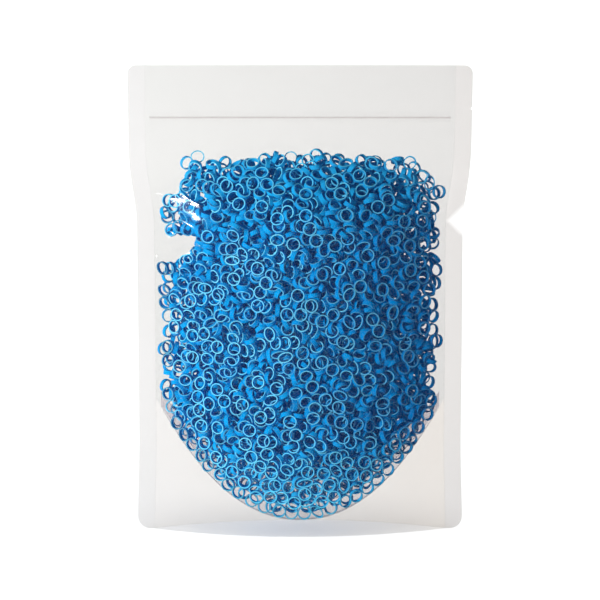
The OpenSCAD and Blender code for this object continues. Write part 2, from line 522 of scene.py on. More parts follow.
def swept_bar(
    name: str, profile: Array, stations: Array, half: Half, sway: PouchForm
) -> bpy.types.Object:
    """Bar of constant section carried along X.

    Formula: every profile point (y, z) is repeated at each station x, and the pack's sway is
    added to y. The outer end is closed by quads between the profile's halves, and the inner end
    meets the other half's.

    Args:
        name: The piece's name.
        profile: Closed outline, one row of y and z for each point, an even number of points,
            paired so that point i and point n-1-i face each other.
        stations: Positions along X.
        half: The half of the mouth that the bar lies in.
        sway: The pouch whose drift the bar follows.

    Returns:
        The new object.
    """
    count, turns = len(profile), len(stations)
    x = np.repeat(stations, count)
    y = np.tile(profile[:, 0], turns)
    z = np.tile(profile[:, 1], turns)
    points = np.stack([x, y + sway.sway(x, z), z], -1)
    number = np.arange(turns * count).reshape(turns, count)
    around = np.roll(number, -1, axis=1)
    sides = np.stack([number[:-1], number[1:], around[1:], around[:-1]], -1).reshape(-1, 4)
    near = np.arange(count // 2 - 1)
    cap = np.stack([near, near + 1, count - 2 - near, count - 1 - near], -1)
    if half is Half.RIGHT:
        cap = cap[:, ::-1] + (turns - 1) * count
    return mesh_from_quads(name, points, np.concatenate([sides, cap]))


# ---------------------------------------------------------------------------------------------
# Finishes
# ---------------------------------------------------------------------------------------------


class Nodes:
    """A material's node tree, with short calls to add and link its nodes."""

    def __init__(self, name: str) -> None:
        """Start an empty material.

        Args:
            name: The material's name.
        """
        self.material = bpy.data.materials.new(name)
        self.material.use_nodes = True
        self.tree = self.material.node_tree
        self.tree.nodes.clear()

    def add(self, kind: str, settings: dict | None = None, **inputs: Value) -> bpy.types.Node:
        """Add a node.

        Args:
            kind: The node's type name.
            settings: Properties to set on the node.
            **inputs: Socket values or sockets to link, by socket name with _ for a space.

        Returns:
            The new node.
        """
        node = self.tree.nodes.new(kind)
        for key, value in (settings or {}).items():
            setattr(node, key, value)
        for key, value in inputs.items():
            name = key.replace("_", " ")
            socket = node.inputs[int(name[3:])] if name.startswith("at ") else node.inputs[name]
            if isinstance(value, bpy.types.NodeSocket):
                self.tree.links.new(value, socket)
            else:
                socket.default_value = value
        return node

    def position(self) -> bpy.types.NodeSocket:
        """Object coordinates, which are the frame's metres."""
        return self.add("ShaderNodeTexCoord").outputs["Object"]

    def noise(
        self, scale: float, detail: float = 2.0, where: bpy.types.NodeSocket | None = None
    ) -> bpy.types.NodeSocket:
        """A noise pattern.

        Args:
            scale: Cells per metre.
            detail: Octaves.
            where: Coordinates, or None for the object's own.

        Returns:
            The pattern, from 0 to 1.
        """
        vector = self.position() if where is None else where
        node = self.add("ShaderNodeTexNoise", Vector=vector, Scale=scale, Detail=detail)
        return node.outputs["Fac"]

    def scaled_position(self, scale: tuple[float, float, float]) -> bpy.types.NodeSocket:
        """Object coordinates stretched by a factor along each axis."""
        node = self.add("ShaderNodeMapping", Vector=self.position(), Scale=scale)
        return node.outputs["Vector"]

    def remap(
        self, value: bpy.types.NodeSocket, low: float, high: float, to_low: float, to_high: float
    ) -> bpy.types.NodeSocket:
        """Map a value from one range to another, clamped.

        Args:
            value: The value.
            low: The lower end of its range.
            high: The upper end of its range.
            to_low: What the lower end becomes.
            to_high: What the upper end becomes.

        Returns:
            The mapped value.
        """
        node = self.add("ShaderNodeMapRange")
        self.tree.links.new(value, node.inputs["Value"])
        node.inputs["From Min"].default_value = low
        node.inputs["From Max"].default_value = high
        node.inputs["To Min"].default_value = to_low
        node.inputs["To Max"].default_value = to_high
        return node.outputs["Result"]

    def math(self, operation: str, a: Value, b: Value) -> bpy.types.NodeSocket:
        """Combine two values with a Math node."""
        node = self.add("ShaderNodeMath", {"operation": operation}, at_0=a, at_1=b)
        return node.outputs["Value"]

    def mix_color(self, factor: Value, a: Value, b: Value) -> bpy.types.NodeSocket:
        """Blend two colours by a factor.

        Args:
            factor: Share of the second colour.
            a: The first colour.
            b: The second colour.

        Returns:
            The blended colour.
        """
        node = self.add("ShaderNodeMix", {"data_type": "RGBA"})
        for number, value in ((0, factor), (6, a), (7, b)):
            if isinstance(value, bpy.types.NodeSocket):
                self.tree.links.new(value, node.inputs[number])
            else:
                node.inputs[number].default_value = value
        return node.outputs[2]

    def mix(self, factor: Value, a: Value, b: Value) -> bpy.types.NodeSocket:
        """Blend two shaders by a factor."""
        return self.add("ShaderNodeMixShader", at_0=factor, at_1=a, at_2=b).outputs[0]

    def finish(self, surface: bpy.types.NodeSocket) -> bpy.types.Material:
        """Link the surface to the output.

        Args:
            surface: The final shader.

        Returns:
            The material.
        """
        self.add("ShaderNodeOutputMaterial", Surface=surface)
        return self.material


@dataclass(frozen=True)
class FilmFinish:
    """Clear plastic film: mostly transparent, with a mirror gloss that grows at a slant."""

    name: str
    tint: tuple[float, float, float]
    # Painted shade: the tint at the right edge, greyer for the weaker light on that side.
    painted_shade_tint_right: tuple[float, float, float]
    haze: float
    haze_color: tuple[float, float, float]
    roughness: float
    ripple: float
    dimple: float
    gloss: float
    line_z: float = 0.0
    line_tint: tuple[float, float, float] = (0.955, 0.945, 0.945)
    # Painted highlight: the place and slope of a clear wedge that stands for light caught by a
    # fold.
    painted_highlight_wedge: tuple[float, float] | None = None
    painted_highlight_slope: float = 0.95
    greyer_top: float = 0.0

    def material(self) -> bpy.types.Material:
        """Build the material.

        The gloss is Schlick's curve on the facing angle, gloss + 0.9 facing^5. A faint diffuse
        share gives the milkiness, and the tint is painted a little greyer towards the right edge,
        painted shade standing for the weaker light on that side. Slow ripples and small dimples,
        like the print of the bands behind the film, break the reflections up, and the roughness
        wanders with rubbing. A zip strip is denser along its middle line, and a weld can carry a
        painted highlight: a clearer wedge open to its edge, standing for light caught by a fold.

        Returns:
            The material.
        """
        nodes = Nodes(self.name)
        slow = nodes.noise(45.0, 2.0, nodes.scaled_position((1.0, 1.0, 0.45)))
        print_of_bands = nodes.noise(210.0, 1.0)
        relief = nodes.math("MULTIPLY", slow, self.ripple)
        relief = nodes.math("ADD", relief, nodes.math("MULTIPLY", print_of_bands, self.dimple))
        bump = nodes.add("ShaderNodeBump", Strength=1.0, Distance=1.0, Height=relief)
        normal = bump.outputs["Normal"]
        rubbed = nodes.noise(400.0, 4.0, nodes.scaled_position((0.25, 1.0, 1.0)))
        rough = nodes.remap(rubbed, 0.35, 0.7, self.roughness, self.roughness * 2.2)
        facing = nodes.add("ShaderNodeLayerWeight", Blend=0.5, Normal=normal).outputs["Facing"]
        fifth = nodes.math("POWER", facing, 5.0)
        schlick = nodes.math("MULTIPLY_ADD", fifth, 0.9)
        schlick.node.inputs[2].default_value = self.gloss
        place = nodes.add("ShaderNodeSeparateXYZ", Vector=nodes.position()).outputs
        # Painted shade: the tint greys from left to right, standing for the weaker light on the
        # right.
        across = nodes.remap(place["X"], -80 * MM, 80 * MM, 0.0, 1.0)
        tint = nodes.mix_color(across, (*self.tint, 1.0), (*self.painted_shade_tint_right, 1.0))
        up = nodes.remap(place["Z"], 90 * MM, 190 * MM, 0.0, self.greyer_top)
        tint = nodes.mix_color(up, tint, (0.0, 0.0, 0.0, 1.0))
        if self.line_z:
            away = nodes.math("ABSOLUTE", nodes.math("SUBTRACT", place["Z"], self.line_z), 0.0)
            on_line = nodes.remap(away, 0.3 * MM, 0.5 * MM, 1.0, 0.0)
            tint = nodes.mix_color(on_line, tint, (*self.line_tint, 1.0))
        # Painted highlight: the tint turns clear in a wedge, so the bright backdrop shows there
        # like a glint.
        if self.painted_highlight_wedge:
            away = nodes.math("ABSOLUTE", nodes.math("SUBTRACT", place["Z"], self.painted_highlight_wedge[1]), 0.0)
            reach = nodes.math("SUBTRACT", place["X"], self.painted_highlight_wedge[0])
            spare = nodes.math("SUBTRACT", nodes.math("MULTIPLY", reach, self.painted_highlight_slope), away)
            on_painted_highlight = nodes.remap(spare, 0.0, 3.5 * MM, 0.0, 0.85)
            tint = nodes.mix_color(on_painted_highlight, tint, (1.0, 1.0, 1.0, 1.0))
        clear = nodes.add("ShaderNodeBsdfTransparent", Color=tint).outputs[0]
        milk_color = nodes.mix_color(
            slow, (*self.haze_color, 1.0), (*[c * 0.93 for c in self.haze_color], 1.0)
        )
        milk = nodes.add("ShaderNodeBsdfDiffuse", Color=milk_color).outputs[0]
        milky = nodes.remap(rubbed, 0.3, 0.7, self.haze * 0.8, self.haze * 1.2)
        body = nodes.mix(milky, clear, milk)
        gloss = nodes.add("ShaderNodeBsdfGlossy", Roughness=rough, Normal=normal).outputs[0]
        return nodes.finish(nodes.mix(schlick, body, gloss))


@dataclass(frozen=True)
class BandFinish:
    """Dyed elastic: saturated satin walls and paler cut rims, a little light passing through."""

    name: str = "elastic_band"
    wall: tuple[float, float, float] = (0.0, 0.31, 0.63)
    wall_deep: tuple[float, float, float] = (0.0, 0.21, 0.52)
    rim: tuple[float, float, float] = (0.10, 0.52, 0.79)
    rim_green: tuple[float, float, float] = (0.15, 0.57, 0.71)
    glow: tuple[float, float, float] = (0.0, 0.36, 0.74)
    # Painted shade: the dark rim colour of bands on the heap's outline, for their backlit look.
    painted_dark_rim: tuple[float, float, float] = (0.06, 0.13, 0.19)
    # Painted shade: the colour the bands darken towards on the right, away from the key light.
    shaded: tuple[float, float, float] = (0.0, 0.05, 0.22)
    painted_shade_share: float = 0.62
    # Painted light: a faint glow of the bands' own, standing for light bouncing deep in the heap.
    painted_deep_glow: tuple[float, float, float] = (0.0, 0.016, 0.048)
    gleam: tuple[float, float, float] = (0.10, 0.62, 1.0)
    roughness: float = 0.5
    specular: float = 0.12
    glow_share: float = 0.34
    # Painted light: the paler colour mixed in near the heap's foot and top.
    painted_end_light: tuple[float, float, float] = (0.05, 0.60, 0.82)
    painted_foot_light_share: float = 0.42
    painted_top_light_share: float = 0.24

    def material(self) -> bpy.types.Material:
        """Build the material.

        The attribute rim is 1 on the cut rims and 0 on the walls, tint is one random number for
        each band, and edge is 1 on the heap's outermost bands, whose rims are painted dark as
        painted shade, for the backlit look of bands against the bright backdrop. The colour is
        painted darker towards the right as painted shade, and paler near the foot and the top as
        painted light. A fine noise mottles the colour, and a finer one gives the rubber's skin. A
        faint painted glow of the bands' own stands for the light that wanders deep between them.

        Returns:
            The material.
        """
        nodes = Nodes(self.name)
        tint = nodes.add("ShaderNodeAttribute", {"attribute_name": "tint"}).outputs["Fac"]
        rim = nodes.add("ShaderNodeAttribute", {"attribute_name": "rim"}).outputs["Fac"]
        mottle = nodes.noise(900.0, 3.0)
        blend = nodes.math("MULTIPLY", nodes.math("ADD", tint, mottle), 0.5)
        walls = nodes.mix_color(blend, (*self.wall_deep, 1.0), (*self.wall, 1.0))
        rims = nodes.mix_color(tint, (*self.rim, 1.0), (*self.rim_green, 1.0))
        # Painted shade: rims of the outline bands are darkened by the edge weight.
        edge = nodes.add("ShaderNodeAttribute", {"attribute_name": "edge"}).outputs["Fac"]
        rims = nodes.mix_color(edge, rims, (*self.painted_dark_rim, 1.0))
        color = nodes.mix_color(rim, walls, rims)
        place = nodes.add("ShaderNodeSeparateXYZ", Vector=nodes.position())
        # Painted shade: the colour is darkened towards the right, away from the key light.
        across = nodes.remap(place.outputs["X"], -20 * MM, 70 * MM, 0.0, self.painted_shade_share)
        color = nodes.mix_color(across, color, (*self.shaded, 1.0))
        # Painted light: the colour is paled near the foot and near the top of the heap.
        low = nodes.remap(place.outputs["Z"], 10 * MM, 50 * MM, self.painted_foot_light_share, 0.0)
        high = nodes.remap(place.outputs["Z"], 140 * MM, 172 * MM, 0.0, self.painted_top_light_share)
        color = nodes.mix_color(nodes.math("ADD", low, high), color, (*self.painted_end_light, 1.0))
        skin = nodes.noise(5200.0, 2.0)
        bump = nodes.add("ShaderNodeBump", Strength=0.25, Distance=0.00006, Height=skin)
        rough = nodes.remap(mottle, 0.3, 0.7, self.roughness * 0.85, self.roughness * 1.2)
        solid = nodes.add(
            "ShaderNodeBsdfPrincipled",
            Base_Color=color,
            Roughness=rough,
            Specular_IOR_Level=self.specular,
            Specular_Tint=(*self.gleam, 1.0),
            # Painted light: the emission stands for bounce light deep between the bands.
            Emission_Color=(*self.painted_deep_glow, 1.0),
            Emission_Strength=1.0,
            Normal=bump.outputs["Normal"],
        ).outputs[0]
        glow_color = nodes.mix_color(rim, (*self.glow, 1.0), rims)
        glow = nodes.add("ShaderNodeBsdfTranslucent", Color=glow_color).outputs[0]
        return nodes.finish(nodes.mix(self.glow_share, solid, glow))


@dataclass(frozen=True)
class StageFinish:
    """Matt white paint for the floor and the sweep behind it."""

    name: str = "studio_white"
    color: tuple[float, float, float] = (0.96, 0.96, 0.96)

    def material(self) -> bpy.types.Material:
        """Build the material: plain diffuse white."""
        nodes = Nodes(self.name)
        return nodes.finish(
            nodes.add("ShaderNodeBsdfDiffuse", Color=(*self.color, 1.0)).outputs[0]
        )


FILM = FilmFinish(
    name="clear_film",
    tint=(0.924, 0.924, 0.920),
    painted_shade_tint_right=(0.894, 0.891, 0.887),
    haze=0.0008,
    haze_color=(0.9, 0.9, 0.9),
    roughness=0.05,
    ripple=3e-4,
    dimple=5e-5,
    gloss=0.005,
)
WELD = FilmFinish(
    name="welded_film",
    tint=(0.880, 0.876, 0.873),
    painted_shade_tint_right=(0.826, 0.814, 0.806),
    haze=0.01,
    haze_color=(0.9, 0.9, 0.9),
    roughness=0.09,
    ripple=3e-4,
    dimple=2e-5,
    gloss=0.005,
    # Painted highlight: a clear wedge on the right weld, standing for light caught by a fold.
    painted_highlight_wedge=(67.5 * MM, 147.5 * MM),
    greyer_top=0.03,
)
BASE = FilmFinish(
    name="base_weld_film",
    tint=(0.950, 0.946, 0.942),
    painted_shade_tint_right=(0.925, 0.913, 0.900),
    haze=0.004,
    haze_color=(0.9, 0.9, 0.9),
    roughness=0.09,
    ripple=3e-4,
    dimple=2e-5,
    gloss=0.005,
)
# Partly painted shade: the dark grey-mauve haze and mauve tint stand partly for the film's own
# milkiness and partly for the dim space under the fold.
GUSSET = FilmFinish(
    name="gusset_film",
    tint=(0.94, 0.927, 0.938),
    painted_shade_tint_right=(0.925, 0.910, 0.923),
    haze=0.03,
    haze_color=(0.36, 0.32, 0.38),
    roughness=0.14,
    ripple=4e-4,
    dimple=6e-5,
    gloss=0.005,
)
ZIP = FilmFinish(
    name="zip_strip",
    tint=(0.999, 0.998, 0.998),
    painted_shade_tint_right=(0.998, 0.997, 0.997),
    haze=0.0006,
    haze_color=(0.9, 0.9, 0.9),
    roughness=0.12,
    ripple=1e-4,
    dimple=0.0,
    gloss=0.002,
)


def dress(piece: bpy.types.Object, material: bpy.types.Material) -> None:
    """Give a piece its material.

    Args:
        piece: The piece.
        material: Its material.
    """
    piece.data.materials.append(material)


# ---------------------------------------------------------------------------------------------
# The pouch
# ---------------------------------------------------------------------------------------------


@dataclass
class Pouch:
    """The film of the pouch: walls, base welds, gusset, side welds, mouth and zip."""

    form: PouchForm
    columns: int = 120
    wall_rows: int = 130
    seal_rows: int = 24
    mouth_rows: int = 56
    side_rows: int = 150
    side_columns: int = 6
    bottom_corner_r: float = 6 * MM
    top_corner_r: float = 4 * MM
    notch_rise: float = 4 * MM
    notch_r: float = 0.7 * MM
    zip_flange_h: float = 5 * MM
    zip_flange_t: float = 0.25 * MM
    zip_end: float = 2 * MM
    rib_r: float = 0.32 * MM

    def __post_init__(self) -> None:
        """Make the film's materials and draw its creases."""
        self.film = FILM.material()
        self.weld = WELD.material()
        self.base = BASE.material()
        self.gusset = GUSSET.material()
        self.zip = replace(ZIP, line_z=self.form.zip_z - 0.3 * MM).material()
        self.creases = {
            Side.FRONT: seeded_creases(self.form, 11) + shoulder_creases(self.form),
            Side.BACK: seeded_creases(self.form, 23),
        }

    def relief(self, side: Side, x: Array, z: Array) -> Array:
        """How far the creases push the film outwards, fading out at the welds and the zip.

        Args:
            side: Front or back.
            x: Positions across the pouch.
            z: Heights.

        Returns:
            The distances outwards.
        """
        form = self.form
        share = np.abs(x) / form.inner_half_w(z)
        free = 1.0 - smoothstep(share, 0.97, 1.0)
        free = free * smoothstep(z, 0.0, 20 * MM)
        clear_of_zip = smoothstep(np.abs(z - form.zip_z), 3 * MM, 9 * MM)
        total = sum(crease.relief(x, z) for crease in self.creases[side])
        drawn = sum(pinch.draw(x, z) for pinch in PINCHES) * form.inner_depth(x, z)
        return np.maximum(total, -0.15 * MM) * free * clear_of_zip - drawn

    def film_points(self, side: Side, u: Array, z: Array, out: float) -> Array:
        """Points of the film.

        Formula: x is the share u of the inner half width; y is the inner depth plus the creases'
        relief plus out, on the film's side, plus the sway.

        Args:
            side: Front or back.
            u: Shares of the inner half width.
            z: Heights.
            out: Distance outwards from the film's inner face.

        Returns:
            The points, with x, y and z last.
        """
        form = self.form
        x = u * form.inner_half_w(z)
        depth = form.inner_depth(x, z) + self.relief(side, x, z) + out
        return np.stack([x, side.value * depth + form.sway(x, z), z], -1)

    def film_piece(
        self,
        name: str,
        side: Side,
        u: Array,
        low: Array,
        high: Array,
        rows: int,
        inward: float,
        joined: tuple[Edge, ...] = (),
    ) -> bpy.types.Object:
        """A stretch of film between two heights given for each column.

        Args:
            name: The piece's name.
            side: Front or back.
            u: Shares of the inner half width, one for each column.
            low: Lower height of each column.
            high: Upper height of each column.
            rows: Number of rows of points.
            inward: How far the piece reaches inside the film's inner face, down to none in its
                topmost eighth.
            joined: Edges that meet a neighbouring piece, as seen from in front.

        Returns:
            The new object.
        """
        if side is Side.BACK:
            u, low, high = u[::-1], low[::-1], high[::-1]
            swap = {Edge.LAST_COLUMN: Edge.FIRST_COLUMN, Edge.FIRST_COLUMN: Edge.LAST_COLUMN}
            joined = tuple(swap.get(edge, edge) for edge in joined)
        share = np.linspace(0.0, 1.0, rows)[:, None]
        z = low[None] + (high - low)[None] * share
        across = np.broadcast_to(u[None], z.shape)
        outer = self.film_points(side, across, z, self.form.film_t)
        taper = np.minimum(1.0, 8.0 * (1.0 - share))
        inner = self.film_points(side, across, z, -inward * taper)
        return shell(name, outer, inner, joined)

    def build_walls(self) -> None:
        """The front and back walls, from the curved base weld up to the mouth line."""
        u = np.linspace(-1.0, 1.0, self.columns + 1)
        low = self.form.base_seal_z(u)
        high = np.full_like(u, self.form.mouth_z)
        for side in Side:
            word = side.name.lower()
            piece = self.film_piece(
                f"{word}_wall_film",
                side,
                u,
                low,
                high,
                self.wall_rows,
                0.0,
                (Edge.FIRST_ROW, Edge.LAST_ROW),
            )
            dress(piece, self.film)
            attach(piece, "pouch")
            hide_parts(f"{word}_wall")

    def build_base_seals(self) -> None:
        """The wall and gusset welded together below the curved weld line."""
        u = np.linspace(-1.0, 1.0, self.columns + 1)
        low = np.zeros_like(u)
        high = self.form.base_seal_z(u)
        for side in Side:
            word = side.name.lower()
            piece = self.film_piece(
                f"{word}_base_weld",
                side,
                u,
                low,
                high,
                self.seal_rows,
                self.form.film_t,
                (Edge.LAST_ROW,),
            )
            dress(piece, self.base)
            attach(piece, "pouch")
            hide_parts(f"{word}_base_seal")

    def build_gusset(self) -> None:
        """The gusset's free part.

        Formula: across the depth a share s runs from weld to weld; the height is the weld's plus
        the leaf's rise at s times the way up to the fold.
        """
        form = self.form
        inside = 1.0 - (1.0 - np.linspace(0.0, 1.0, 15)) ** 2.6
        v = np.concatenate([-inside[:0:-1], inside])[:, None]
        u = np.linspace(-1.0, 1.0, self.columns + 1)[None] * form.gusset_reach
        seam_z = form.base_seal_z(u)
        x = u * form.inner_half_w(seam_z)
        depth = form.inner_depth(x, seam_z) - form.film_t
        shelf = form.shelf_share(depth)
        edge = np.ones_like(u)
        s = np.concatenate([-edge, v * (1.0 - shelf), edge])
        z = seam_z + (form.fold_z(u) - seam_z) * form.leaf_rise(np.abs(s), shelf)
        x, y = np.broadcast_to(x, z.shape), s * depth
        ripple = 0.25 * MM * np.sin(x / (4.1 * MM)) * np.sin(z / (5.3 * MM)) * (1 - np.abs(s))
        thick = 1.4 * form.film_t
        upper = np.stack([x, y + form.sway(x, z), z + ripple + thick], -1)
        spread = np.where(np.abs(s) < 1.0, 1.0 - thick / np.maximum(depth, 4 * thick), 1.0)
        lower = np.stack([x, y * spread + form.sway(x, z), z + ripple], -1)
        piece = shell("folded_gusset", upper, lower)
        dress(piece, self.gusset)
        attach(piece, "pouch")
        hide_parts("bottom_gusset")

    def corner_cut(self, z: Array) -> Array:
        """How much the round corners cut off a side weld's outer edge.

        Formula: r - sqrt(r^2 - d^2), with d the height inside the corner's round.

        Args:
            z: Heights.

        Returns:
            The widths cut off.
        """
        low_d = np.clip(self.bottom_corner_r - z, 0.0, self.bottom_corner_r)
        high_d = np.clip(z - self.form.height + self.top_corner_r, 0.0, self.top_corner_r)
        low = self.bottom_corner_r - np.sqrt(self.bottom_corner_r**2 - low_d**2)
        return low + self.top_corner_r - np.sqrt(self.top_corner_r**2 - high_d**2)

    def build_side_welds(self) -> None:
        """The flat welds down both sides, with round corners and a tear notch on the right."""
        form = self.form
        notch_z = form.zip_z + self.notch_rise
        for half in Half:
            round_low = self.bottom_corner_r * (1.0 - np.cos(np.linspace(0, math.pi / 2, 9)))
            round_high = self.top_corner_r * (1.0 - np.cos(np.linspace(0, math.pi / 2, 9)))
            notch = notch_z + self.notch_r * np.sin(np.linspace(-math.pi / 2, math.pi / 2, 15))
            z = np.concatenate(
                [
                    round_low,
                    np.linspace(self.bottom_corner_r, form.height, self.side_rows),
                    form.height - round_high,
                    notch,
                ]
            )
            z = np.unique(np.round(z, 6))
            cut = self.corner_cut(z)
            if half is Half.RIGHT:
                into = np.sqrt(np.maximum(0.0, self.notch_r**2 - (z - notch_z) ** 2))
                cut = cut + into
            width = form.half_w - form.flat_half_w - cut
            t = np.linspace(0.0, 1.0, self.side_columns)
            across, up = np.meshgrid(t, z)
            x = half.value * (form.inner_half_w(up) + across * width[:, None])
            y = form.sway(x, up)
            if half is Half.LEFT:
                x, y, up = x[:, ::-1], y[:, ::-1], up[:, ::-1]
            outer = np.stack([x, y - form.film_t, up], -1)
            inner = np.stack([x, y + form.film_t, up], -1)
            word = half.name.lower()
            piece = shell(f"{word}_side_weld", outer, inner)
            dress(piece, self.weld)
            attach(piece, "pouch")
            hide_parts(f"{word}_side_seal")

    def blend_half(self, piece: bpy.types.Object) -> None:
        """Bake a piece's placement into its mesh, leaving it at the origin.

        Args:
            piece: The piece.
        """
        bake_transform(piece)

    def build_mouth(self) -> None:
        """The films above the mouth line, in halves that bow apart from the side welds."""
        for side in Side:
            word = side.name.lower()
            for half in Half:
                u = np.sort(half.value * np.linspace(0.0, 1.0, self.columns // 2 + 1))
                low = np.full_like(u, self.form.mouth_z)
                high = np.full_like(u, self.form.height)
                name = f"{word}_mouth_{half.name.lower()}"
                middle = Edge.LAST_COLUMN if half is Half.LEFT else Edge.FIRST_COLUMN
                joined = (Edge.FIRST_ROW, middle)
                piece = self.film_piece(name, side, u, low, high, self.mouth_rows, 0.0, joined)
                dress(piece, self.film)
                self.blend_half(piece)
                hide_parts(f"{word}_mouth_film")

    def rib_profile(self) -> Array:
        """Outline of the rib: a flange, a stem and a round head, as y and z from the zip line."""
        back = -(self.form.zip_gap - 0.02 * MM)
        face = back + self.zip_flange_t
        half_h, stem = self.zip_flange_h / 2, 0.55 * self.rib_r
        start = math.pi - math.asin(stem / self.rib_r)
        turn = np.linspace(start, 0.06, 8)
        head = np.stack([np.cos(turn), np.sin(turn)], -1) * self.rib_r
        upper = np.concatenate([[[back, half_h], [face, half_h], [face, stem]], head])
        return np.concatenate([upper, upper[::-1] * [1.0, -1.0]])

    def groove_profile(self) -> Array:
        """Outline of the groove: a flange and a block with a round channel, open to the rib."""
        back = self.form.zip_gap - 0.02 * MM
        face = back - self.zip_flange_t
        lip = -self.rib_r - 0.02 * MM
        channel, mouth, block = self.rib_r + 0.08 * MM, self.rib_r + 0.03 * MM, 0.75 * MM
        half_h = self.zip_flange_h / 2
        start = math.pi - math.asin(mouth / channel)
        turn = np.linspace(start, 0.06, 8)
        bore = np.stack([np.cos(turn), np.sin(turn)], -1) * channel
        upper = np.concatenate(
            [[[back, half_h], [face, half_h], [face, block], [lip, block], [lip, mouth]], bore]
        )
        return np.concatenate([upper, upper[::-1] * [1.0, -1.0]])

    def build_zip(self) -> None:
        """The zip's rib on the front film and groove on the back film, in halves."""
        length = self.form.flat_half_w - self.zip_end
        profiles = {Side.FRONT: self.rib_profile(), Side.BACK: self.groove_profile()}
        words = {Side.FRONT: "rib", Side.BACK: "groove"}
        for side, profile in profiles.items():
            outline = profile + [0.0, self.form.zip_z]
            for half in Half:
                stations = np.sort(half.value * np.linspace(0.0, length, 28))
                name = f"zip_{words[side]}_{half.name.lower()}"
                piece = swept_bar(name, outline, stations, half, self.form)
                fix_normals(piece)
                dress(piece, self.zip)
                self.blend_half(piece)
                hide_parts(f"zip_{words[side]}")

    def build(self) -> None:
        """Build every piece of the pouch."""
        self.build_walls()
        self.build_base_seals()
        self.build_gusset()
        self.build_side_welds()
        self.build_mouth()
        self.build_zip()
        log.info("pouch: walls, base welds, gusset, side welds, mouth and zip")


def fix_normals(piece: bpy.types.Object) -> None:
    """Turn a mesh's faces outwards.

    Args:
        piece: The object, with one shell.
    """
    import bmesh

    work = bmesh.new()
    work.from_mesh(piece.data)
    bmesh.ops.recalc_face_normals(work, faces=work.faces)
    work.to_mesh(piece.data)
    work.free()


# ---------------------------------------------------------------------------------------------
# The bands
# ---------------------------------------------------------------------------------------------


